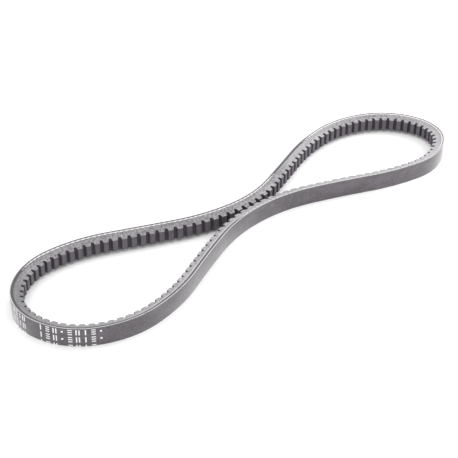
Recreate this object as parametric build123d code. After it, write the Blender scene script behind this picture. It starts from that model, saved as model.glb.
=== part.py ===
from build123d import *
import math
import os

# V belt, raw-edge and cogged, endless, standing on its side in a slack two-lobed loop.
# Millimetres. +Z is up and runs across the belt's width, +X runs along the loop's long axis.
# The origin is at the centre of the loop's plan box, on the surface that it stands on.

# Belt size
outside_length = 850.0      # length of the back, once round
belt_width = 13.0           # across the back
belt_depth = 8.0            # back to the cog lands
flank_angle = 18.0          # each cut flank against the cross plane, degrees

# Plies, as depths from the back
canvas_depth = 0.7          # back canvas
cord_line_depth = 1.5       # middle of the tensile cords, the line that keeps its length
adhesion_depth = 2.3        # underside of the rubber that the cords are bedded in
facing_thickness = 0.3      # canvas moulded over the cogs
edge_land = 0.4             # flat that the knife leaves on the canvas's edge

# Tensile cord, wound side by side across the belt
cord_diameter = 0.9
cord_turns = 10
cord_pitch = 1.31

# Cogs, evenly spaced along the cord line
cog_count = 134
groove_depth = 2.4          # land to groove root
groove_root_radius = 1.1
groove_wall_angle = 12.0    # each wall against the groove's middle, degrees

# The back's line, seen from above and run counter-clockwise: x, y and heading in degrees.
# Each stretch between two of these is a pair of tangent arcs. The list is scaled to
# outside_length and centred below.
stations = [
    (-182.0, -6.0, -79.0),      # left end
    (-117.5, -46.0, 7.5),       # near side of the left lobe
    (-36.5, -15.8, 22.5),       # into the waist
    (48.0, -13.2, -19.0),       # out of the waist
    (130.0, -41.0, -9.0),       # near side of the right lobe
    (181.5, 4.0, 104.5),        # right end
    (114.5, 43.0, 186.0),       # far side of the right lobe
    (32.5, 16.2, 201.5),        # into the waist
    (-50.5, 20.2, 157.0),       # out of the waist
    (-133.5, 46.5, 180.0),      # far side of the left lobe
]

cut_margin = 0.3            # how far a groove's cutter runs past the cog lands; less than the waist's gap


class Arc:
    """One tangent arc of the back's line: where it starts, its heading and its curvature."""

    def __init__(self, start, heading, end):
        chord = end - start
        cross = heading.X * chord.Y - heading.Y * chord.X
        half_turn = math.atan2(cross, heading.dot(chord))
        self.start = start
        self.heading = heading
        self.end = end
        self.curvature = 2 * math.sin(half_turn) / chord.length
        self.turn = 2 * half_turn
        self.length = self.turn / self.curvature

    def inward(self):
        return Vector(-self.heading.Y, self.heading.X)

    def centre(self):
        return self.start + self.inward() / self.curvature

    def place(self, share):
        """Point on the back and inward direction at a share of the arc, 0 to 1."""
        spin = math.degrees(self.turn * share)
        inward = self.inward().rotate(Axis.Z, spin)
        return self.centre() - inward / self.curvature, inward

    def length_at(self, depth):
        return self.length * (1 - self.curvature * depth)


def arc_pair(start, heading_in, end, heading_out):
    """Two arcs that leave start along heading_in, meet tangentially and reach end."""
    gap = end - start
    both = heading_in + heading_out
    bend = 2 * (1 - heading_in.dot(heading_out))
    along = gap.dot(both)
    reach = (math.sqrt(along ** 2 + bend * gap.dot(gap)) - along) / bend
    corner_in = start + heading_in * reach
    corner_out = end - heading_out * reach
    meeting = (corner_in + corner_out) / 2
    middle = (corner_out - corner_in).normalized()
    return [Arc(start, heading_in, meeting), Arc(meeting, middle, end)]


def back_line(points):
    arcs = []
    for here, there in zip(points, points[1:] + points[:1]):
        heading_in = Vector(1, 0).rotate(Axis.Z, here[2])
        heading_out = Vector(1, 0).rotate(Axis.Z, there[2])
        arcs += arc_pair(Vector(here[0], here[1]), heading_in, Vector(there[0], there[1]), heading_out)
    return arcs


def plan_box(arcs):
    edges = [ThreePointArc(arc.start, arc.place(0.5)[0], arc.end) for arc in arcs]
    return Compound(children=edges).bounding_box()


def fitted(points):
    """The stations at the stated outside length, centred on the origin."""
    scale = outside_length / sum(arc.length for arc in back_line(points))
    sized = [(x * scale, y * scale, heading) for x, y, heading in points]
    middle = plan_box(back_line(sized)).center()
    return [(x - middle.X, y - middle.Y, heading) for x, y, heading in sized]


def flank_height(depth):
    """Height of the lower flank at a depth from the back; the upper one mirrors it."""
    return depth * math.tan(math.radians(flank_angle))


def ply_section(outer, inner):
    """Cross-section of a ply between two depths: X is the depth, Y the height."""
    low_outer = flank_height(outer)
    low_inner = flank_height(inner)
    corners = [
        (outer, low_outer),
        (inner, low_inner),
        (inner, belt_width - low_inner),
        (outer, belt_width - low_outer),
    ]
    return make_face(Polyline(*corners, close=True))


def canvas_section():
    """The back canvas, whose two edges are flat for a little way before they follow the flank."""
    low = flank_height(canvas_depth)
    corners = [
        (0, 0),
        (edge_land, 0),
        (canvas_depth, low),
        (canvas_depth, belt_width - low),
        (edge_land, belt_width),
        (0, belt_width),
    ]
    return make_face(Polyline(*corners, close=True))


def cord_circles():
    """Section of every cord turn, lowest first."""
    lowest = belt_width / 2 - cord_pitch * (cord_turns - 1) / 2
    circles = []
    for turn in range(cord_turns):
        spot = Pos(cord_line_depth, lowest + cord_pitch * turn)
        circles.append(spot * Circle(cord_diameter / 2))
    return circles


def run_round(section, arcs):
    """Carry a cross-section round the whole back line, one revolved sector for each arc."""
    sectors = []
    for arc in arcs:
        plane = Plane(origin=arc.start, x_dir=arc.inward(), z_dir=arc.heading)
        way = 1 if arc.turn > 0 else -1
        axis = Axis(arc.centre(), (0, 0, way))
        placed = plane * section
        sectors.append(Solid.revolve(placed.face(), math.degrees(abs(arc.turn)), axis))
    return sectors[0].fuse(*sectors[1:])


def groove_prism(grow):
    """Cutter for one groove, at depth along X and centred on Y; grow leaves room for a lining."""
    slope = math.radians(groove_wall_angle)
    radius = groove_root_radius + grow
    middle = belt_depth - groove_depth + groove_root_radius
    mouth = belt_depth + cut_margin
    tangent_x = middle - radius * math.sin(slope)
    tangent_y = radius * math.cos(slope)
    mouth_y = tangent_y + (mouth - tangent_x) * math.tan(slope)
    root = ThreePointArc((tangent_x, tangent_y), (middle - radius, 0), (tangent_x, -tangent_y))
    walls = Polyline((tangent_x, -tangent_y), (mouth, -mouth_y), (mouth, mouth_y), (tangent_x, tangent_y))
    return extrude(make_face(Curve() + [root, walls]), belt_width).solid()


def groove_places(arcs):
    """One plane for each groove, evenly spaced along the cord line, X pointing inward."""
    lengths = [arc.length_at(cord_line_depth) for arc in arcs]
    pitch = sum(lengths) / cog_count
    places = []
    passed = 0.0
    for arc, length in zip(arcs, lengths):
        while len(places) < cog_count and (len(places) + 0.5) * pitch < passed + length:
            share = ((len(places) + 0.5) * pitch - passed) / length
            point, inward = arc.place(share)
            places.append(Plane(origin=point, x_dir=inward, z_dir=(0, 0, 1)))
        passed += length
    return places


def cut_grooves(body, places, grow):
    cutter = groove_prism(grow)
    return body.cut(*[place.location * cutter for place in places])


def save(name, shape):
    shape.label = name
    export_step(shape, f"parts/{name}.step")
    print(f"{name}: {shape.volume:.1f} mm3")


def build():
    os.makedirs("parts", exist_ok=True)
    arcs = back_line(fitted(stations))
    places = groove_places(arcs)
    cords = cord_circles()
    whole_section = ply_section(0, belt_depth)

    save("back_canvas", run_round(canvas_section(), arcs))

    over_cord = ply_section(canvas_depth, cord_line_depth)
    under_cord = ply_section(cord_line_depth, adhesion_depth)
    for cord in cords:
        over_cord -= cord
        under_cord -= cord
    save("overcord_rubber", run_round(over_cord, arcs))
    save("adhesion_rubber", run_round(under_cord, arcs))

    for turn, cord in enumerate(cords, start=1):
        save(f"tensile_cord_{turn:02d}", run_round(cord & whole_section, arcs))

    rubber = run_round(ply_section(adhesion_depth, belt_depth - facing_thickness), arcs)
    rubber = cut_grooves(rubber, places, facing_thickness)
    save("compression_rubber", rubber)

    lined = run_round(ply_section(adhesion_depth, belt_depth), arcs)
    lined = cut_grooves(lined, places, 0.0)
    save("cog_facing_canvas", lined.cut(rubber))

    print(f"back {sum(arc.length for arc in arcs):.3f} mm")
    print(f"cord line {sum(arc.length_at(cord_line_depth) for arc in arcs):.3f} mm")
    print("radii", [round(1 / arc.curvature, 1) for arc in arcs])


build()
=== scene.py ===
import math
import random

import bmesh
import bpy
import numpy as np
from mathutils import Matrix, Vector


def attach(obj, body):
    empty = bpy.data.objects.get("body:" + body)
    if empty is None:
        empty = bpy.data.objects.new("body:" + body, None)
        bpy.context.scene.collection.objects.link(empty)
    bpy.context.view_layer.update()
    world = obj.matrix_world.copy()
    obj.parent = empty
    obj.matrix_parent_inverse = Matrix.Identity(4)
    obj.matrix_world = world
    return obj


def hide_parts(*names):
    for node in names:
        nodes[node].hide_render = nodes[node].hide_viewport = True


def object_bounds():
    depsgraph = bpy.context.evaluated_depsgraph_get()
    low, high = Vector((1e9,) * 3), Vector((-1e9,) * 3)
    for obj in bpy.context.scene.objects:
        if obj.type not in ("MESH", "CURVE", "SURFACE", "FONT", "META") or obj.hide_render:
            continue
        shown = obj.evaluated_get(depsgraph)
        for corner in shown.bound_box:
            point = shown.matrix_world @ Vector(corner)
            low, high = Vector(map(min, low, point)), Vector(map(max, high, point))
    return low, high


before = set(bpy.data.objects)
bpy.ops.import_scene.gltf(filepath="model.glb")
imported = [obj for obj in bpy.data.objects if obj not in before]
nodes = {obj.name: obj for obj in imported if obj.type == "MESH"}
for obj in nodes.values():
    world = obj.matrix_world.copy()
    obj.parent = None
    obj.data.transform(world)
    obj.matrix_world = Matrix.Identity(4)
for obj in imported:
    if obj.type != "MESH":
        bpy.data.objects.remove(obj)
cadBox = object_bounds()
scene = bpy.context.scene
print("frame loaded,", len(nodes), "nodes")

metre = 1000.0    # in millimetres

# The belt is modelled straight, in millimetres, and then bent round its loop.
# Straight places: x runs along the cord line, y inward from the cord line, z up across the width.
belt = {
    "outsideLength": 850.0,
    "width": 13.0,
    "depth": 8.0,
    "flankAngle": 18.0,      # each flank, degrees
    "cordDepth": 1.5,        # from the back to the cord line
    "clothDepth": 0.7,       # back cloth
    "beddingDepth": 2.3,     # underside of the rubber round the cords
    "cogs": 134,
    "grooveDepth": 2.4,
    "rootRadius": 1.1,
    "wallAngle": 12.0,       # each groove wall, degrees
    "liningThickness": 0.3,
}
slope = math.tan(math.radians(belt["flankAngle"]))
backY = -belt["cordDepth"]
clothY = belt["clothDepth"] - belt["cordDepth"]
beddingY = belt["beddingDepth"] - belt["cordDepth"]
landY = belt["depth"] - belt["cordDepth"]

# Millimetres within which two places count as one.
closeness = {
    "near": 0.01,
    "cut": 0.0005,
    "outline": 0.005,    # points on a cog's outline
    "repeat": 0.003,     # neighbouring pitches
    "seam": 0.01,        # where the ring closes
}
aligned = 0.9            # a direction whose share of an axis is over this lies along it

# The loop's plan, run counter-clockwise along the back: x, y and heading in degrees.
loopStations = [
    (-182.0, -6.0, -79.0),
    (-117.5, -46.0, 7.5),
    (-36.5, -15.8, 22.5),
    (48.0, -13.2, -19.0),
    (130.0, -41.0, -9.0),
    (181.5, 4.0, 104.5),
    (114.5, 43.0, 186.0),
    (32.5, 16.2, 201.5),
    (-50.5, 20.2, 157.0),
    (-133.5, 46.5, 180.0),
]


def aim(degrees):
    return Vector((math.cos(math.radians(degrees)), math.sin(math.radians(degrees))))


def joinArcs(points):
    # two tangent arcs between each pair of stations: start, heading, turn and curvature
    arcs = []
    for here, there in zip(points, points[1:] + points[:1]):
        start, end = Vector(here[:2]), Vector(there[:2])
        leave, arrive = aim(here[2]), aim(there[2])
        gap = end - start
        both = leave + arrive
        bend = 2 * (1 - leave.dot(arrive))
        along = gap.dot(both)
        reach = (math.sqrt(along ** 2 + bend * gap.dot(gap)) - along) / bend
        first, second = start + leave * reach, end - arrive * reach
        meeting = (first + second) / 2
        for a, heading, b in ((start, leave, meeting), (meeting, (second - first).normalized(), end)):
            chord = b - a
            half = math.atan2(heading.x * chord.y - heading.y * chord.x, heading.dot(chord))
            arcs.append((a, heading, 2 * half, 2 * math.sin(half) / chord.length))
    return arcs


def arcSpot(arc, share, depth):
    # the point at a share of the arc and a depth from the back
    start, heading, turn, bend = arc
    inward = Vector((-heading.y, heading.x))
    turned = inward.copy()
    turned.rotate(Matrix.Rotation(turn * share, 2))
    return start + inward / bend - turned * (1 / bend - depth)


def sizeLoop(points):
    # the stations at the belt's outside length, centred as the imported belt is
    scale = belt["outsideLength"] / sum(turn / bend for _, _, turn, bend in joinArcs(points))
    sized = [(x * scale, y * scale, heading) for x, y, heading in points]
    samples = 200    # on each arc
    spots = [arcSpot(arc, i / samples, 0) for arc in joinArcs(sized) for i in range(samples)]
    low = [min(spot[i] for spot in spots) for i in range(2)]
    high = [max(spot[i] for spot in spots) for i in range(2)]
    shiftX, shiftY = [(a + b) / 2 * metre - (c + d) / 2 for a, b, c, d in zip(*cadBox, low, high)]
    return [(x + shiftX, y + shiftY, heading) for x, y, heading in sized]


def makeGuide():
    # a closed curve on the cord line that every straight piece is bent along
    arcs = joinArcs(sizeLoop(loopStations))
    depth = belt["cordDepth"]
    resolution = 64
    knots = []
    for arc, before in zip(arcs, arcs[-1:] + arcs[:-1]):
        start, heading, turn, bend = arc
        spot = start + Vector((-heading.y, heading.x)) * depth
        ahead = 4 / 3 * math.tan(turn / 4) * (1 / bend - depth)
        behind = 4 / 3 * math.tan(before[2] / 4) * (1 / before[3] - depth)
        knots.append((spot, spot + heading * ahead, spot - heading * behind))
    knots = knots[1:] + knots[:1]    # a closed guide starts at its last knot
    curve = bpy.data.curves.new("guide", "CURVE")
    curve.dimensions = "3D"
    curve.twist_mode = "Z_UP"
    curve.resolution_u = resolution
    spline = curve.splines.new("BEZIER")
    spline.bezier_points.add(len(knots) - 1)
    spline.use_cyclic_u = True
    for point, (spot, ahead, behind) in zip(spline.bezier_points, knots):
        point.handle_left_type = point.handle_right_type = "FREE"
        point.co = (*spot, 0)
        point.handle_right = (*ahead, 0)
        point.handle_left = (*behind, 0)
    guide = bpy.data.objects.new("guide", curve)
    scene.collection.objects.link(guide)
    return guide, spline.calc_length(resolution=resolution)


guide, cordLength = makeGuide()
pitch = cordLength / belt["cogs"]
print("cord line", round(cordLength, 2), "mm, cog pitch", round(pitch, 3))


def clearSelection():
    bpy.ops.object.select_all(action="DESELECT")


def activate(piece):
    clearSelection()
    piece.select_set(True)
    bpy.context.view_layer.objects.active = piece


def startEdit(piece):
    activate(piece)
    bpy.ops.object.mode_set(mode="EDIT")


def endEdit():
    bpy.ops.object.mode_set(mode="OBJECT")


def pick(piece, kind, test):
    # selects the vertices, edges or faces whose middle and direction pass the test
    bpy.ops.mesh.select_mode(type=kind)
    bpy.ops.mesh.select_all(action="DESELECT")
    shape = bmesh.from_edit_mesh(piece.data)
    for part in {"VERT": shape.verts, "EDGE": shape.edges, "FACE": shape.faces}[kind]:
        if kind == "FACE":
            middle, facing = part.calc_center_median(), part.normal
        elif kind == "EDGE":
            ends = [vertex.co for vertex in part.verts]
            middle, facing = (ends[0] + ends[1]) / 2, (ends[1] - ends[0]).normalized()
        else:
            middle, facing = part.co, part.normal
        if test(middle, facing):
            part.select_set(True)
    shape.select_flush_mode()
    bmesh.update_edit_mesh(piece.data)


def near(a, b):
    return abs(a - b) < closeness["near"]


def cutAt(point, normal, **settings):
    bpy.ops.mesh.select_all(action="SELECT")
    bpy.ops.mesh.bisect(plane_co=point, plane_no=normal, threshold=closeness["cut"], **settings)


def cutFlanks(inset=0.0):
    # trims all that stands outside the two flanks
    top = belt["width"] - inset
    cutAt((0, backY, top), (0, slope, 1), clear_outer=True, use_fill=True)
    cutAt((0, backY, inset), (0, slope, -1), clear_outer=True, use_fill=True)


def sliceAt(places):
    for x in places:
        cutAt((x, 0, 0), (1, 0, 0))


def openEnds(piece, length):
    pick(piece, "FACE", lambda m, n: abs(n.x) > aligned and (near(m.x, 0) or near(m.x, length)))
    bpy.ops.mesh.delete(type="FACE")


def modify(piece, kind, **settings):
    activate(piece)
    modifier = piece.modifiers.new(kind.lower(), kind)
    for name, value in settings.items():
        setattr(modifier, name, value)
    bpy.ops.object.modifier_apply(modifier=modifier.name)


def repeat(piece, count, step):
    modify(piece, "ARRAY", count=count, use_relative_offset=False, use_constant_offset=True,
           constant_offset_displace=(step, 0, 0), use_merge_vertices=True,
           merge_threshold=closeness["repeat"])


def takeNew(name):
    # names the piece just added and applies its place, turn and size
    piece = bpy.context.object
    piece.name = piece.data.name = name
    bpy.ops.object.transform_apply(location=True, rotation=True, scale=True)
    return piece


def addBlock(name, low, high):
    clearSelection()
    size = [b - a for a, b in zip(low, high)]
    middle = [(a + b) / 2 for a, b in zip(low, high)]
    bpy.ops.mesh.primitive_cube_add(size=1, location=middle, scale=size)
    return takeNew(name)


def addRod(name, radius, length, sides, y, z):
    clearSelection()
    bpy.ops.mesh.primitive_cylinder_add(vertices=sides, radius=radius, depth=length,
                                        location=(length / 2, y, z), rotation=(0, math.pi / 2, 0))
    return takeNew(name)


def joinPieces(pieces, name):
    clearSelection()
    for piece in pieces:
        piece.select_set(True)
    bpy.context.view_layer.objects.active = pieces[0]
    bpy.ops.object.join()
    joined = bpy.context.object
    joined.name = joined.data.name = name
    return joined


def bendRound(piece, smooth=35, closed=True):
    # keeps each corner's straight place as "lay", bends the piece round the loop and goes to metres
    mesh = piece.data
    places = np.zeros(len(mesh.vertices) * 3, np.float32)
    mesh.vertices.foreach_get("co", places)
    corners = np.zeros(len(mesh.loops), np.int32)
    mesh.loops.foreach_get("vertex_index", corners)
    lay = mesh.attributes.new("lay", "FLOAT_VECTOR", "CORNER")
    lay.data.foreach_set("vector", places.reshape(-1, 3)[corners].ravel())
    modify(piece, "CURVE", object=guide, deform_axis="POS_X")
    if closed:
        seam = guide.data.splines[0].bezier_points[-1].co.xy
        reach = belt["depth"] + 1
        startEdit(piece)
        pick(piece, "VERT", lambda m, n: (m.xy - seam).length < reach)
        bpy.ops.mesh.remove_doubles(threshold=closeness["seam"])
        bpy.ops.mesh.select_all(action="SELECT")
        bpy.ops.mesh.normals_make_consistent(inside=False)
        endEdit()
    piece.data.transform(Matrix.Scale(1 / metre, 4))
    activate(piece)
    bpy.ops.object.shade_smooth_by_angle(angle=math.radians(smooth))
    return piece


def place(piece, replaced=()):
    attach(piece, "root")
    if replaced:
        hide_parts(*replaced)
    print(piece.name, len(piece.data.polygons), "faces")


# Shader maths: a Wire is a socket, and an expression on wires adds its Math nodes.
class Wire:
    def __init__(self, finish, socket):
        self.finish = finish
        self.socket = socket

    def math(self, operation, a, b=None):
        values = {0: a} if b is None else {0: a, 1: b}
        return self.finish.add("ShaderNodeMath", {"operation": operation}, values)

    def __add__(self, other):
        return self.math("ADD", self, other)

    def __radd__(self, other):
        return self.math("ADD", other, self)

    def __sub__(self, other):
        return self.math("SUBTRACT", self, other)

    def __rsub__(self, other):
        return self.math("SUBTRACT", other, self)

    def __mul__(self, other):
        return self.math("MULTIPLY", self, other)

    def __rmul__(self, other):
        return self.math("MULTIPLY", other, self)

    def sine(self):
        return self.math("SINE", self)

    def size(self):
        return self.math("ABSOLUTE", self)

    def higher(self, other):
        return self.math("MAXIMUM", self, other)


class Finish:
    def __init__(self, name):
        self.material = bpy.data.materials.new(name)
        self.material.use_nodes = True
        self.tree = self.material.node_tree
        self.tree.nodes.clear()

    def add(self, kind, settings=None, sockets=None, out=0):
        # one node: its settings first, then the values or links of its sockets
        node = self.tree.nodes.new(kind)
        for name, value in (settings or {}).items():
            setattr(node, name, value)
        for name, value in (sockets or {}).items():
            if isinstance(value, Wire):
                self.tree.links.new(value.socket, node.inputs[name])
            else:
                node.inputs[name].default_value = value
        return Wire(self, node.outputs[out]) if len(node.outputs) else None

    def straight(self):
        # x along the belt, y inward, z across, in millimetres, as it was before it was bent
        return self.add("ShaderNodeAttribute", {"attribute_name": "lay"}, out="Vector")

    def packedPlace(self):
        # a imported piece's own places, in millimetres
        return self.stretch(self.add("ShaderNodeTexCoord", out="Object"), (metre, metre, metre))

    def split(self, vector):
        node = self.tree.nodes.new("ShaderNodeSeparateXYZ")
        self.tree.links.new(vector.socket, node.inputs[0])
        return [Wire(self, socket) for socket in node.outputs]

    def stretch(self, vector, amounts):
        return self.add("ShaderNodeVectorMath", {"operation": "MULTIPLY"}, {0: vector, 1: amounts})

    def noise(self, vector, scale, detail=2.0, rough=0.5, seed=0.0):
        return self.add("ShaderNodeTexNoise", {"noise_dimensions": "4D"},
                        {"Vector": vector, "W": seed, "Scale": scale, "Detail": detail,
                         "Roughness": rough}, out="Fac")

    def cells(self, vector, scale, feature="F1"):
        return self.add("ShaderNodeTexVoronoi", {"feature": feature},
                        {"Vector": vector, "Scale": scale}, out="Distance")

    def steps(self, value, low, high):
        # 0 below low, 1 above high, smooth between
        return self.add("ShaderNodeMapRange", {"interpolation_type": "SMOOTHSTEP"},
                        {"Value": value, "From Min": low, "From Max": high})

    def patch(self, x, middle, edge, full):
        # a stretch of the belt about its middle: 0 at the edge distance, 1 at the full one
        return self.steps((x - middle).size(), edge, full)

    def most(self, values):
        found, *others = values
        for other in others:
            found = found.higher(other)
        return found

    def blend(self, amount, a, b):
        return self.add("ShaderNodeMix", {"data_type": "RGBA"}, {0: amount, 6: a, 7: b}, out=2)

    def bump(self, height, strength, distance):
        return self.add("ShaderNodeBump", None,
                        {"Strength": strength, "Distance": distance, "Height": height})

    def coat(self, constants, changing):
        shader = self.add("ShaderNodeBsdfPrincipled", None, {**constants, **changing})
        self.add("ShaderNodeOutputMaterial", None, {"Surface": shader})
        return self.material


def grey(value):
    return (value, value, value, 1.0)


def wear(piece, material):
    piece.data.materials.clear()
    piece.data.materials.append(material)


# Stage: camera, floor and soft light.
view = {
    "place": (-0.49655, -0.50719, 0.45533),
    "turn": -43.352,      # degrees from +Y
    "down": 33.065,       # degrees below level
    "roll": 0.62,
    "lens": 97.96,
    "nearest": 0.01,
}
light = {
    "sky": 1.08,
    "floorSize": 5,
    "floorTone": 0.97,
    "floorCloud": 0.01,   # how much darker the floor is in places
    # name: place, size in metres and power in watts
    "lamps": {
        "overhead": ((-0.3, 0.5, 1.6), 1.6, 8.0),
        "right": ((0.75, -0.22, 0.50), 0.5, 4.3),
    },
}


def addCamera():
    lens = bpy.data.cameras.new("camera")
    lens.lens = view["lens"]
    lens.clip_start = view["nearest"]
    camera = bpy.data.objects.new("camera", lens)
    scene.collection.objects.link(camera)
    camera.matrix_world = (
        Matrix.Translation(view["place"])
        @ Matrix.Rotation(math.radians(view["turn"]), 4, "Z")
        @ Matrix.Rotation(math.radians(90 - view["down"]), 4, "X")
        @ Matrix.Rotation(math.radians(view["roll"]), 4, "Z")
    )
    scene.camera = camera


def addFloor():
    clearSelection()
    bpy.ops.mesh.primitive_grid_add(x_subdivisions=8, y_subdivisions=8, size=light["floorSize"])
    floor = bpy.context.object
    floor.name = "floor"
    finish = Finish("paleFloor")
    spot = finish.add("ShaderNodeTexCoord", out="Object")
    cloud = finish.noise(spot, 3.0)
    tone = finish.blend(cloud, grey(light["floorTone"] - light["floorCloud"]), grey(light["floorTone"]))
    wear(floor, finish.coat({"Roughness": 0.9, "Specular IOR Level": 0.1}, {"Base Color": tone}))


def addLights():
    world = bpy.data.worlds.new("studio")
    scene.world = world
    world.use_nodes = True
    sky = world.node_tree.nodes["Background"]
    sky.inputs["Color"].default_value = (1.0, 1.0, 1.0, 1.0)
    sky.inputs["Strength"].default_value = light["sky"]
    for name, (spot, size, power) in light["lamps"].items():
        lamp = bpy.data.lights.new(name, "AREA")
        lamp.size = size
        lamp.energy = power
        holder = bpy.data.objects.new(name, lamp)
        scene.collection.objects.link(holder)
        holder.location = spot
        holder.rotation_euler = (-Vector(spot)).to_track_quat("-Z", "Y").to_euler()


addCamera()
addFloor()
addLights()
scene.view_settings.view_transform = "Standard"
print("camera, floor and lights set")


# Cogged rubber and the cloth moulded over its cogs.
cogShape = {
    "cornerRadius": 0.35,         # the land's two corners, over the cloth
    "leastRadius": 0.08,          # the same corners under the cloth
    "cornerSegments": 3,
    "rootSegments": 4,            # each half of the groove's round root
    "slices": 6,                  # to each cog, so that it bends smoothly
    "clothSlices": (0.13, 0.87),  # the cloth's own, as shares of the pitch
}


def addCogPlan(name, cover):
    # one pitch seen from above, a single face with its groove cut out; cover is the cloth left off
    radius = belt["rootRadius"] + cover
    rootY = landY - belt["grooveDepth"] - cover
    lowY = landY - cover
    half = radius / math.tan(math.radians(45 + belt["wallAngle"] / 2))
    mouth = half + (lowY - rootY) * math.tan(math.radians(belt["wallAngle"]))
    centre = pitch / 2
    clearSelection()
    bpy.ops.mesh.primitive_plane_add(size=1, location=(centre, (beddingY + lowY) / 2, 0))
    bpy.context.object.scale = (pitch, lowY - beddingY, 1)
    piece = takeNew(name)
    startEdit(piece)
    sliceAt((centre - half, centre + half))
    cutAt((0, rootY, 0), (0, 1, 0))
    pick(piece, "FACE", lambda m, n: near(m.x, centre) and m.y > rootY)
    bpy.ops.mesh.delete(type="FACE")
    for side in (-1, 1):
        pick(piece, "VERT", lambda m, n: near(m.x, centre + side * half) and near(m.y, lowY))
        bpy.ops.transform.translate(value=(side * (mouth - half), 0, 0))
    bpy.ops.mesh.select_all(action="SELECT")
    bpy.ops.mesh.dissolve_faces()
    # the straight cuts leave loose points on the outline, which go before the corners are rounded
    corners = [(centre + side * half, rootY) for side in (-1, 1)]
    mouths = [(centre + side * mouth, lowY) for side in (-1, 1)]
    kept = corners + mouths + [(x, y) for x in (0, pitch) for y in (beddingY, lowY)]
    pick(piece, "VERT", lambda m, n: not any(near(m.x, x) and near(m.y, y) for x, y in kept))
    bpy.ops.mesh.dissolve_verts()
    pick(piece, "VERT", lambda m, n: any(near(m.x, x) and near(m.y, y) for x, y in corners))
    bpy.ops.mesh.bevel(offset=half, offset_type="OFFSET", segments=cogShape["rootSegments"],
                       affect="VERTICES", clamp_overlap=False)
    rounding = max(cogShape["cornerRadius"] - cover, cogShape["leastRadius"])
    pick(piece, "VERT", lambda m, n: any(near(m.x, x) and near(m.y, y) for x, y in mouths))
    bpy.ops.mesh.bevel(offset=rounding, offset_type="OFFSET", segments=cogShape["cornerSegments"],
                       affect="VERTICES")
    bpy.ops.mesh.select_all(action="SELECT")
    bpy.ops.mesh.remove_doubles(threshold=closeness["outline"])
    bpy.ops.mesh.select_all(action="SELECT")
    bpy.ops.mesh.extrude_region_move(TRANSFORM_OT_translate={"value": (0, 0, belt["width"])})
    bpy.ops.mesh.select_all(action="SELECT")
    bpy.ops.mesh.normals_make_consistent(inside=False)
    return piece


def addCogBody():
    piece = addCogPlan("cog_body", belt["liningThickness"])
    cutFlanks()
    sliceAt(pitch * i / cogShape["slices"] for i in range(1, cogShape["slices"]))
    openEnds(piece, pitch)
    endEdit()
    repeat(piece, belt["cogs"], pitch)
    return bendRound(piece)


def addCogCloth():
    piece = addCogPlan("cog_cloth", 0.0)
    pick(piece, "FACE", lambda m, n: abs(n.z) > aligned or n.y < -aligned
         or near(m.x, 0) or near(m.x, pitch))
    bpy.ops.mesh.delete(type="FACE")
    endEdit()
    modify(piece, "SOLIDIFY", thickness=belt["liningThickness"], offset=-1, use_even_offset=True)
    startEdit(piece)
    cutFlanks()
    sliceAt(pitch * share for share in cogShape["clothSlices"])
    openEnds(piece, pitch)
    endEdit()
    repeat(piece, belt["cogs"], pitch)
    return bendRound(piece)


# In every look, a tone is a linear colour and a noise is its scale to a millimetre, detail,
# roughness and seed. A range is where a smooth step starts and ends, and a patch is its middle
# along the belt, where it fades out and where it is full. Relief is strength and metres.
flankLook = {
    "mottle": (0.75, 3.0, 0.65),
    "grain": (2.6, 2.0, 0.6, 3.0),
    "drift": (1.0, 2.0, 0.5, 5.0),
    "driftStretch": (0.03, 0.2, 0.2),
    "dark": (0.038, 0.035, 0.039, 1),
    "pale": (0.340, 0.321, 0.346, 1),
    "paleRange": (0.48, 0.73),
    "pitScale": 0.62,
    "pitStretch": (1.0, 1.3, 1.0),
    "pitRange": (0.22, 0.07),
    "pitTone": (0.055, 0.052, 0.057, 1),
    "endScale": 0.95,
    "endRange": (0.26, 0.12),
    "endCover": (0.42, 0.6),
    "endTone": (0.62, 0.61, 0.62, 1),
    "bondDepth": 1.5,         # inward from the cord line
    "bondRange": (0.34, 0.16),
    "bondPatch": (125.0, 85.0, 55.0),
    "bondAmount": 0.8,
    "bondTone": (0.60, 0.59, 0.60, 1),
    # painted light: a paler flank at the right end and at the far side of the waist
    "paintedLightPatches": [(375.0, 65.0, 25.0), (530.0, 50.0, 22.0)],
    "paintedLightAmount": 0.3,
    "paintedLightTone": (0.46, 0.45, 0.465, 1),
    # painted shade, with the amount of each; the first is the left end, on both sides of the seam
    "paintedShadePatches": [(cordLength / 2, 340.0, 385.0, 0.55), (280.0, 80.0, 45.0, 0.25),
                    (700.0, 95.0, 60.0, 0.2)],
    "paintedShadeTone": (0.045, 0.042, 0.046, 1),
    "relief": (0.8, 0.00014),
    "surface": {"IOR": 1.6, "Sheen Weight": 0.62, "Sheen Roughness": 0.45},
}


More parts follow.
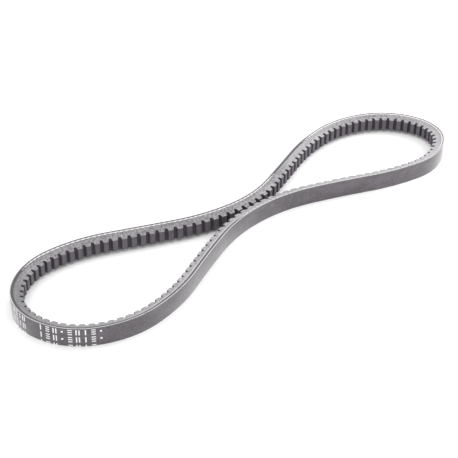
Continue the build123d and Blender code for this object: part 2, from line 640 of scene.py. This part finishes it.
def flankFinish(look):
    # rubber filled with short fibre, ground to the flank: mottled, with pale fibre ends and dark pits
    finish = Finish("groundRubber")
    spot = finish.straight()
    x, y, _ = finish.split(spot)
    mottle = finish.noise(spot, *look["mottle"])
    grain = finish.noise(spot, *look["grain"])
    drift = finish.noise(finish.stretch(spot, look["driftStretch"]), *look["drift"])
    ends = finish.cells(spot, look["endScale"])
    pits = finish.cells(finish.stretch(spot, look["pitStretch"]), look["pitScale"], "SMOOTH_F1")
    pale = finish.steps(mottle * 0.6 + grain * 0.4 + drift * 0.2 + y * 0.006, *look["paleRange"])
    tone = finish.blend(pale, look["dark"], look["pale"])
    tone = finish.blend(finish.steps(pits, *look["pitRange"]) * 0.85, tone, look["pitTone"])
    shown = finish.steps(ends, *look["endRange"]) * finish.steps(grain, *look["endCover"])
    tone = finish.blend(shown * 0.85, tone, look["endTone"])
    # a pale bond line under the cords, painted light that makes the flank paler at the right end and
    # the far side of the waist, and painted shade that darkens the left end and two other stretches
    bondLine = finish.steps((y - look["bondDepth"]).size(), *look["bondRange"])
    bondLine = bondLine * finish.patch(x, *look["bondPatch"])
    tone = finish.blend(bondLine * look["bondAmount"], tone, look["bondTone"])
    # painted light: the flank is made paler at the right end and the waist
    dustAndPaintedLight = finish.most(finish.patch(x, *spread) for spread in look["paintedLightPatches"])
    tone = finish.blend(dustAndPaintedLight * look["paintedLightAmount"], tone, look["paintedLightTone"])
    # painted shade: the flank is made darker at the left end, the near right and the far left
    paintedShade = finish.most(finish.patch(x, *spread) * amount for *spread, amount in look["paintedShadePatches"])
    tone = finish.blend(paintedShade, tone, look["paintedShadeTone"])
    relief = finish.bump(grain * 0.4 + mottle * 0.6, *look["relief"])
    return finish.coat(look["surface"], {"Base Color": tone, "Roughness": 0.42 + grain * 0.2,
                                         "Normal": relief})


cogClothLook = {
    "streak": (1.0, 3.0, 0.6),
    "streakStretch": (5.0, 5.0, 0.25),
    "cloud": (0.35, 2.0, 0.5, 2.0),
    "threads": 9.0,           # radians to a millimetre
    "paleRange": (0.3, 0.72),
    "land": ((0.076, 0.068, 0.080, 1), (0.134, 0.121, 0.141, 1)),      # dark and pale
    # painted shade: the groove tones are darker than the land's
    "groove": ((0.041, 0.036, 0.044, 1), (0.087, 0.078, 0.092, 1)),
    "grooveShadeRange": (landY - 0.55, landY - 0.10),
    "cutRange": (belt["width"] / 2 - 0.06, belt["width"] / 2 - 0.02),
    "cutCover": (2.2, 2.0, 0.5, 7.0),
    "cutTone": (0.40, 0.39, 0.40, 1),
    "relief": (0.45, 0.00008),
    "surface": {"Specular IOR Level": 0.4},
}


def cogClothFinish(look):
    # thin rubbered cloth moulded over the cogs, with faint streaks across the belt, and painted shade
    # that makes the grooves darker than the lands
    finish = Finish("cogCanvas")
    spot = finish.straight()
    x, y, z = finish.split(spot)
    streak = finish.noise(finish.stretch(spot, look["streakStretch"]), *look["streak"])
    cloud = finish.noise(spot, *look["cloud"])
    weave = (x * look["threads"]).sine() * (z * look["threads"]).sine()
    pale = finish.steps(streak * 0.7 + cloud * 0.3, *look["paleRange"])
    land = finish.blend(pale, *look["land"])
    groove = finish.blend(pale, *look["groove"])
    # painted shade darkens the grooves below the lands
    tone = finish.blend(finish.steps(y, *look["grooveShadeRange"]), groove, land)
    outward = (z - belt["width"] / 2).size() + (y + belt["cordDepth"]) * slope
    cutEdge = finish.steps(outward, *look["cutRange"]) * finish.noise(spot, *look["cutCover"])
    tone = finish.blend(cutEdge, tone, look["cutTone"])
    relief = finish.bump(weave * 0.15 + streak * 0.8, *look["relief"])
    return finish.coat(look["surface"], {"Base Color": tone, "Roughness": 0.55 + cloud * 0.15,
                                         "Normal": relief})


cogBody = addCogBody()
wear(cogBody, flankFinish(flankLook))
place(cogBody, ["compression_rubber"])
cogCloth = addCogCloth()
wear(cogCloth, cogClothFinish(cogClothLook))
place(cogCloth, ["cog_facing_canvas"])


# Back cloth, with its two cut edges a little uneven.
backShape = {
    "edgeLand": 0.4,       # flat of each cut edge before the flank starts
    "rounding": 0.12,
    "roundSegments": 2,
    "slices": 8,           # to each cog pitch
    "fray": 0.10,          # how far the cut edges wander
    "frayMiddle": 0.3,     # the share of the wander that is inward
    "frayScale": 0.9,
    "frayWidth": 0.5,      # of each edge, and what is left still beside the seam
    "printRoom": 0.02,     # left for the print's thickness
}


def addBackCloth():
    outerY = backY + backShape["printRoom"]
    landEnd = backY + backShape["edgeLand"]
    steep = belt["clothDepth"] * slope / (clothY - landEnd)
    piece = addBlock("back_cloth", (0, outerY, 0), (pitch, clothY, belt["width"]))
    startEdit(piece)
    cutAt((0, landEnd, belt["width"]), (0, steep, 1), clear_outer=True, use_fill=True)
    cutAt((0, landEnd, 0), (0, steep, -1), clear_outer=True, use_fill=True)
    pick(piece, "EDGE", lambda m, d: abs(d.x) > aligned and near(m.y, outerY))
    bpy.ops.mesh.bevel(offset=backShape["rounding"], segments=backShape["roundSegments"],
                       affect="EDGES")
    sliceAt(pitch * i / backShape["slices"] for i in range(1, backShape["slices"]))
    openEnds(piece, pitch)
    endEdit()
    repeat(piece, belt["cogs"], pitch)
    # the seam's own points stay put, so that the ring closes
    middleZ, wide = belt["width"] / 2, backShape["frayWidth"]
    edges = piece.vertex_groups.new(name="edges")
    edges.add([v.index for v in piece.data.vertices
               if abs(v.co.z - middleZ) > middleZ - wide and wide < v.co.x < cordLength - wide],
              1.0, "REPLACE")
    cloud = bpy.data.textures.new("frayCloud", "CLOUDS")
    cloud.noise_scale = backShape["frayScale"]
    modify(piece, "DISPLACE", texture=cloud, texture_coords="LOCAL", direction="Y",
           mid_level=backShape["frayMiddle"], strength=backShape["fray"], vertex_group="edges")
    return bendRound(piece)


backLook = {
    "cloud": (1.0, 3.0, 0.55),
    "cloudStretch": (0.06, 1.0, 0.16),
    "grain": (3.0, 3.0, 0.6, 4.0),
    "blotch": (0.7, 3.0, 0.65, 8.0),
    "threads": 7.4,           # radians to a millimetre
    "dark": (0.024, 0.019, 0.025, 1),
    "pale": (0.090, 0.073, 0.092, 1),
    "paleRange": (0.39, 0.61),
    "scuff": (1.0, 4.0, 0.7, 9.0),
    "scuffStretch": (0.25, 1.0, 1.6),
    "scuffRange": (0.60, 0.78),
    "scuffTone": (0.22, 0.21, 0.225, 1),
    "cutRange": (belt["width"] / 2 - 0.28, belt["width"] / 2 - 0.08),
    "fibre": (1.6, 3.0, 0.6, 6.0),
    "fibreStretch": (1.2, 3.0, 3.0),
    "fibreRange": (0.25, 0.55),
    "fibreTone": (0.56, 0.55, 0.565, 1),
    "bondRange": (clothY - 0.26, clothY - 0.10),
    "bondTone": (0.05, 0.047, 0.053, 1),
    "relief": (0.5, 0.00008),
    "surface": {"IOR": 1.78, "Sheen Weight": 0.7, "Sheen Roughness": 0.38},
}


def backFinish(look):
    # rubbered bias-woven cloth: satin, with a faint weave and pale fibre at the cut edges
    finish = Finish("backCanvas")
    spot = finish.straight()
    x, y, z = finish.split(spot)
    cloud = finish.noise(finish.stretch(spot, look["cloudStretch"]), *look["cloud"])
    grain = finish.noise(spot, *look["grain"])
    scuff = finish.noise(finish.stretch(spot, look["scuffStretch"]), *look["scuff"])
    weave = ((x + z) * look["threads"]).sine() * ((x - z) * look["threads"]).sine()
    blotch = finish.noise(spot, *look["blotch"])
    pale = finish.steps(cloud * 0.3 + grain * 0.3 + blotch * 0.4, *look["paleRange"])
    tone = finish.blend(pale, look["dark"], look["pale"])
    tone = finish.blend(finish.steps(scuff, *look["scuffRange"]) * 0.35, tone, look["scuffTone"])
    fibre = finish.noise(finish.stretch(spot, look["fibreStretch"]), *look["fibre"])
    cut = finish.steps((z - belt["width"] / 2).size(), *look["cutRange"])
    tone = finish.blend(cut * finish.steps(fibre, *look["fibreRange"]), tone, look["fibreTone"])
    tone = finish.blend(finish.steps(y, *look["bondRange"]) * 0.85, tone, look["bondTone"])
    relief = finish.bump(weave * 0.25 + grain * 0.6 + blotch * 0.8, *look["relief"])
    return finish.coat(look["surface"], {"Base Color": tone, "Roughness": 0.30 + blotch * 0.16,
                                         "Normal": relief})


backCloth = addBackCloth()
wear(backCloth, backFinish(backLook))
place(backCloth, ["back_canvas"])


# The cords that the flanks cut through, and the rubber that beds them there.
cordShape = {
    "thickness": 1.05,
    "strands": 3,
    "strandShare": 0.99,      # of the thickness at which the strands would touch
    "twist": 11.0,            # length of one full turn of the strands
    "sides": 8,
    "slices": 12,             # to each turn
    "channel": 0.9,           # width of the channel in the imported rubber
    "offset": 5.895,          # the outermost channel's middle from the belt's middle
    "beddingDrop": 0.07,      # the bedding's surface under the flank
    "beddingOverlap": 0.005,  # into the channel's wall
    "beddingSides": 12,
    "beddingSlices": 4,       # to each cog pitch
}
# where each flank cuts a cord: start, end, and how high the cord's middle is over the flank at both;
# each run is whole turns of the strands, and the cord dives under the flank at its ends
cutStretches = {
    "upper": [(187.0, 198.0, -0.55, -0.28), (198.0, 506.0, -0.28, 0.0), (506.0, 528.0, 0.0, -0.55),
              (577.0, 588.0, -0.55, -0.30), (588.0, 775.0, -0.30, -0.26), (775.0, 786.0, -0.26, -0.55)],
    "lower": [(9.0, 20.0, -0.55, -0.40), (20.0, 328.0, -0.40, -0.05), (328.0, 350.0, -0.05, -0.55),
              (459.0, 470.0, -0.55, -0.42), (470.0, 800.0, -0.42, -0.20), (800.0, 811.0, -0.20, -0.55)],
}


def addTwistedCord(name, start, end, startRise, endRise, side):
    # strands laid side by side, twisted, repeated, tilted through the flank and cut by it
    radius = cordShape["thickness"] / 2 / (1 + 2 / math.sqrt(3))
    reach = cordShape["thickness"] / 2 - radius
    strands = []
    for i in range(cordShape["strands"]):
        angle = 2 * math.pi * i / cordShape["strands"]
        strands.append(addRod(name, radius * cordShape["strandShare"], cordShape["twist"],
                              cordShape["sides"], reach * math.cos(angle), reach * math.sin(angle)))
    piece = joinPieces(strands, name)
    startEdit(piece)
    sliceAt(cordShape["twist"] * i / cordShape["slices"] for i in range(1, cordShape["slices"]))
    openEnds(piece, cordShape["twist"])
    endEdit()
    modify(piece, "SIMPLE_DEFORM", deform_method="TWIST", deform_axis="X", angle=2 * math.pi)
    length = end - start
    repeat(piece, math.ceil(length / cordShape["twist"]), cordShape["twist"])
    startEdit(piece)
    bpy.ops.mesh.select_all(action="SELECT")
    bpy.ops.mesh.fill_holes(sides=0)
    endEdit()
    flankZ = belt["width"] / 2 - belt["cordDepth"] * slope
    steep = math.cos(math.atan(slope))
    piece.location = (start, 0, belt["width"] / 2 + side * (flankZ + startRise / steep))
    piece.rotation_euler = (0, -side * math.atan((endRise - startRise) / steep / length), 0)
    bpy.ops.object.transform_apply(location=True, rotation=True, scale=True)
    startEdit(piece)
    cutFlanks()
    endEdit()
    return piece


def addEdgeCord(level, side):
    cords = [addTwistedCord("cord", *stretch, side) for stretch in cutStretches[level]]
    piece = joinPieces(cords, "edge_cord_" + level)
    return bendRound(piece, smooth=50, closed=False)


def addCordBedding(level, side):
    # a rod in the outermost cord's channel, cut off a little under the flank
    middleZ = belt["width"] / 2 + side * cordShape["offset"]
    radius = cordShape["channel"] / 2 + cordShape["beddingOverlap"]
    slices = cordShape["beddingSlices"]
    piece = addRod("cord_bedding_" + level, radius, pitch, cordShape["beddingSides"], 0, middleZ)
    startEdit(piece)
    cutFlanks(inset=cordShape["beddingDrop"])
    sliceAt(pitch * i / slices for i in range(1, slices))
    openEnds(piece, pitch)
    endEdit()
    repeat(piece, belt["cogs"], pitch)
    return bendRound(piece)


yarnLook = {
    "fibre": (1.0, 3.0, 0.6),
    "fibreStretch": (1.0, 9.0, 9.0),
    "packedFibre": (2.5, 3.0, 0.6),
    "fibreRange": (0.3, 0.7),
    "dark": (0.62, 0.61, 0.60, 1),
    "pale": (0.93, 0.93, 0.92, 1),
    "grime": (0.45, 3.0, 0.6, 2.0),
    "grimeRange": (0.56, 0.76),
    "grimeTone": (0.40, 0.39, 0.40, 1),
    "relief": (0.4, 0.00005),
    "surface": {"Specular IOR Level": 0.4, "Sheen Weight": 0.2},
}
beddingLook = {
    "grain": (3.2, 3.0, 0.6),
    "dustAndPaintedLight": (0.8, 3.0, 0.6, 5.0),
    "dark": (0.045, 0.042, 0.047, 1),
    "pale": (0.10, 0.095, 0.103, 1),
    "dustRange": (0.35, 0.65),
    "dustTones": ((0.13, 0.125, 0.133, 1), (0.33, 0.32, 0.335, 1)),    # dark and pale
    "paintedShadeRange": (-130.0, -156.0),    # painted shade: the left end is kept dark
    "relief": (0.4, 0.00006),
    "surface": {"Specular IOR Level": 0.4},
}


def yarnFinish(name, look, packed):
    # white polyester yarn, its fibres along the strands where the cord is modelled here
    finish = Finish(name)
    if packed:
        spot = finish.packedPlace()
        fibre = finish.noise(spot, *look["packedFibre"])
    else:
        spot = finish.straight()
        fibre = finish.noise(finish.stretch(spot, look["fibreStretch"]), *look["fibre"])
    grime = finish.noise(spot, *look["grime"])
    tone = finish.blend(finish.steps(fibre, *look["fibreRange"]), look["dark"], look["pale"])
    tone = finish.blend(finish.steps(grime, *look["grimeRange"]) * 0.4, tone, look["grimeTone"])
    relief = finish.bump(fibre, *look["relief"])
    return finish.coat(look["surface"], {"Base Color": tone, "Roughness": 0.55 + fibre * 0.2,
                                         "Normal": relief})


def beddingFinish(name, look, packed=False, ground=False):
    # plain black rubber without fibre, dusted grey where the flank was ground; there painted shade
    # keeps the left end dark
    finish = Finish(name)
    spot = finish.packedPlace() if packed else finish.straight()
    grain = finish.noise(spot, *look["grain"])
    dustAndPaintedLight = finish.noise(spot, *look["dustAndPaintedLight"])
    tone = finish.blend(grain, look["dark"], look["pale"])
    if ground:
        # painted shade: no grey dust at the left end, so it stays dark
        paintedShade = finish.steps(finish.split(spot)[0], *look["paintedShadeRange"])
        pale = finish.blend(finish.steps(dustAndPaintedLight * 0.5 + grain * 0.5, *look["dustRange"]),
                            *look["dustTones"])
        tone = finish.blend((1 - paintedShade) * 0.9, tone, pale)
    relief = finish.bump(grain, *look["relief"])
    return finish.coat(look["surface"], {"Base Color": tone, "Roughness": 0.42 + dustAndPaintedLight * 0.2,
                                         "Normal": relief})


yarn = yarnFinish("cordYarn", yarnLook, packed=False)
for level, side, node in (("upper", 1, "tensile_cord_10"), ("lower", -1, "tensile_cord_01")):
    edgeCord = addEdgeCord(level, side)
    wear(edgeCord, yarn)
    place(edgeCord, [node])
bedding = beddingFinish("beddingRubber", beddingLook)
for level, side in (("upper", 1), ("lower", -1)):
    cordBedding = addCordBedding(level, side)
    wear(cordBedding, bedding)
    place(cordBedding)
packedYarn = yarnFinish("packedYarn", yarnLook, packed=True)
for name in sorted(nodes):
    if name.startswith("tensile_cord") and not nodes[name].hide_render:
        wear(nodes[name], packedYarn)
wear(nodes["overcord_rubber"], beddingFinish("darkBedding", beddingLook, packed=True))
wear(nodes["adhesion_rubber"], beddingFinish("groundBedding", beddingLook, packed=True, ground=True))
print("cords and bedding dressed")


# Print on the back: plain ticks and dashes in rows, the last row cut through by the lower edge.
printShape = {
    "rows": [(8.3, 12.0), (3.0, 6.9), (-2.4, 1.2)],    # foot and head of each row
    "markWidth": 2.5,
    "thickness": 0.03,
    "lowest": 0.02,         # where the lower edge cuts the last row
    "leastHeight": 0.1,     # of a stroke that is left after that cut
    "rounding": 0.08,
    "slices": 3,            # to each stroke, so that it bends
    "long": (5.5, 4.45, "tick rungs gate dot rungs gate tick rungs dot"),    # start, step, marks
    "short": (822.0, 3.6, "gate rungs tick gate"),
}
markStrokes = {
    "tick": [(0.34, 0.0, 0.64, 1.0)],
    "gate": [(0.02, 0.0, 0.32, 1.0), (0.68, 0.0, 0.98, 1.0)],
    "rungs": [(0.0, 0.0, 1.0, 0.18), (0.0, 0.41, 1.0, 0.59), (0.0, 0.82, 1.0, 1.0)],
    "dot": [(0.2, 0.36, 0.7, 0.66)],
}


def addStroke(left, right, low, high):
    slices = printShape["slices"]
    stroke = addBlock("stroke", (left, backY, low), (right, backY + printShape["thickness"], high))
    startEdit(stroke)
    sliceAt(left + (right - left) * i / slices for i in range(1, slices))
    pick(stroke, "EDGE", lambda m, d: abs(d.y) > aligned)
    bpy.ops.mesh.bevel(offset=printShape["rounding"], segments=2, affect="EDGES")
    endEdit()
    return stroke


def addPrint():
    strokes = []
    for foot, head in printShape["rows"]:
        for start, step, marks in (printShape["long"], printShape["short"]):
            for i, mark in enumerate(marks.split()):
                for x0, z0, x1, z1 in markStrokes[mark]:
                    low = max(foot + (head - foot) * z0, printShape["lowest"])
                    high = foot + (head - foot) * z1
                    if high - low < printShape["leastHeight"]:
                        continue
                    left = start + step * i + printShape["markWidth"] * x0
                    right = start + step * i + printShape["markWidth"] * x1
                    strokes.append(addStroke(left, right, low, high))
    return bendRound(joinPieces(strokes, "back_print"), closed=False)


inkLook = {
    "thin": (1.6, 3.0, 0.6),
    "grain": (6.0, 2.0, 0.5, 3.0),
    "thinRange": (0.34, 0.50),
    "dark": (0.48, 0.47, 0.48, 1),
    "pale": (0.86, 0.85, 0.86, 1),
    "relief": (0.3, 0.00003),
    "surface": {"Specular IOR Level": 0.4},
}


def inkFinish(look):
    # pale silver ink, thin in places
    finish = Finish("paleInk")
    spot = finish.straight()
    thin = finish.noise(spot, *look["thin"])
    grain = finish.noise(spot, *look["grain"])
    cover = finish.steps(thin * 0.7 + grain * 0.3, *look["thinRange"])
    tone = finish.blend(cover, look["dark"], look["pale"])
    relief = finish.bump(grain, *look["relief"])
    return finish.coat(look["surface"], {"Base Color": tone, "Roughness": 0.5 + thin * 0.2,
                                         "Normal": relief})


backPrint = addPrint()
wear(backPrint, inkFinish(inkLook))
place(backPrint)


# Loose fibre along the cut cloth edges and at the cogs' corners.
fibreShape = {
    "length": 0.6,
    "thickness": 0.045,
    "kink": 0.12,                   # share of the length
    "lengthSpread": (0.5, 1.4),
    "thicknessSpread": (0.7, 1.2),
    "seed": 7,
    # how many, and the least and most of their directions' x, y and z
    "upperCount": 1500,
    "upperAim": ((0.4, 1), (-0.25, 0.35), (-0.1, 0.2)),
    "lowerCount": 700,
    "lowerAim": ((-0.25, 0.35), (0.0, 0.1)),    # y and z only, as x is full either way
    "cogCount": 420,
    "cogAim": ((-1, 1), (-0.2, 0.5), (0.05, 0.5)),
    # where their roots are
    "seamClear": 1,                 # left bare on each side of the seam
    "faceClear": 0.1,               # left bare beside each face of the cloth
    "edgeSlope": 0.75,              # of the cloth's edge past its flat
    "upperSink": 0.02,
    "lowerLift": 0.12,
    "cogReach": 1.7,                # either way from a land's middle
    "cogSink": 0.12,                # under the land
    "cogLift": 0.1,                 # depth left off where the flank's height is taken
}


def addFibreModel():
    length = fibreShape["length"]
    root, tip = fibreShape["thickness"] / 2, fibreShape["thickness"] / 6
    clearSelection()
    bpy.ops.mesh.primitive_cone_add(vertices=3, radius1=root, radius2=tip, depth=length,
                                    location=(length / 2, 0, 0), rotation=(0, math.pi / 2, 0))
    fibre = takeNew("fibre")
    startEdit(fibre)
    sliceAt([length / 2])
    pick(fibre, "VERT", lambda m, n: near(m.x, length / 2))
    bpy.ops.transform.translate(value=(0, 0, length * fibreShape["kink"]))
    endEdit()
    return fibre


def scatterFibres(name, count, spotOf, aimOf, seed):
    model = addFibreModel()
    rng = random.Random(seed)
    spreads = [fibreShape[key] for key in ("lengthSpread", "thicknessSpread", "thicknessSpread")]
    fibres = []
    for _ in range(count):
        fibre = model.copy()
        fibre.data = model.data.copy()
        scene.collection.objects.link(fibre)
        ahead = Vector(aimOf(rng)).normalized()
        turn = ahead.to_track_quat("X", "Z").to_matrix().to_4x4()
        roll = Matrix.Rotation(rng.uniform(0, 2 * math.pi), 4, "X")
        grow = Matrix.Diagonal((*drawEach(rng, spreads), 1))
        fibre.data.transform(Matrix.Translation(spotOf(rng)) @ turn @ roll @ grow)
        fibres.append(fibre)
    bpy.data.objects.remove(model)
    return bendRound(joinPieces(fibres, name), smooth=60, closed=False)


def drawEach(rng, ranges):
    return [rng.uniform(low, high) for low, high in ranges]


def upperAim(rng):
    way = rng.choice((-1, 1))
    along, inward, up = drawEach(rng, fibreShape["upperAim"])
    return (way * along, inward, up)


def lowerAim(rng):
    return (rng.choice((-1, 1)), *drawEach(rng, fibreShape["lowerAim"]))


def cogAim(rng):
    return drawEach(rng, fibreShape["cogAim"])


def clothEdgeSpot(high):
    faceClear, seamClear = fibreShape["faceClear"], fibreShape["seamClear"]

    def spot(rng):
        y = rng.uniform(backY + faceClear, clothY - faceClear)
        rise = max(0.0, y - backY - backShape["edgeLand"]) * fibreShape["edgeSlope"]
        x = rng.uniform(seamClear, cordLength - seamClear)
        if high:
            return (x, y, belt["width"] - rise - fibreShape["upperSink"])
        return (x, y, rise + fibreShape["lowerLift"])
    return spot


def cogEdgeSpot(rng):
    # about a land's two corners, on the upper flank
    reach, seamClear = fibreShape["cogReach"], fibreShape["seamClear"]
    x = rng.randrange(belt["cogs"]) * pitch + rng.uniform(-reach, reach)
    z = belt["width"] - (belt["depth"] - fibreShape["cogLift"]) * slope
    return (min(max(x, seamClear), cordLength - seamClear), landY - fibreShape["cogSink"], z)


fibreLook = {
    "tint": (1.2, 2.0),
    "tintRange": (0.35, 0.65),
    "dark": (0.38, 0.37, 0.385, 1),
    "pale": (0.80, 0.79, 0.80, 1),
    "grainScale": 12.0,
    "relief": (0.3, 0.00002),
    "surface": {"Specular IOR Level": 0.3},
}


def fibreFinish(look):
    finish = Finish("looseFibre")
    spot = finish.straight()
    tint = finish.noise(spot, *look["tint"])
    tone = finish.blend(finish.steps(tint, *look["tintRange"]), look["dark"], look["pale"])
    relief = finish.bump(finish.noise(spot, look["grainScale"]), *look["relief"])
    return finish.coat(look["surface"], {"Base Color": tone, "Roughness": 0.75 + tint * 0.1,
                                         "Normal": relief})


fuzz = fibreFinish(fibreLook)
scatters = (
    ("edge_fibre_upper", fibreShape["upperCount"], clothEdgeSpot(True), upperAim, "back_canvas"),
    ("edge_fibre_lower", fibreShape["lowerCount"], clothEdgeSpot(False), lowerAim, "back_canvas"),
    ("cog_fibre", fibreShape["cogCount"], cogEdgeSpot, cogAim, "cog_canvas"),
)
for i, (name, count, spotOf, aimOf, slotName) in enumerate(scatters):
    fibre = scatterFibres(name, count, spotOf, aimOf, fibreShape["seed"] + i)
    wear(fibre, fuzz)
    place(fibre)

bpy.data.objects.remove(guide)
print("finished")
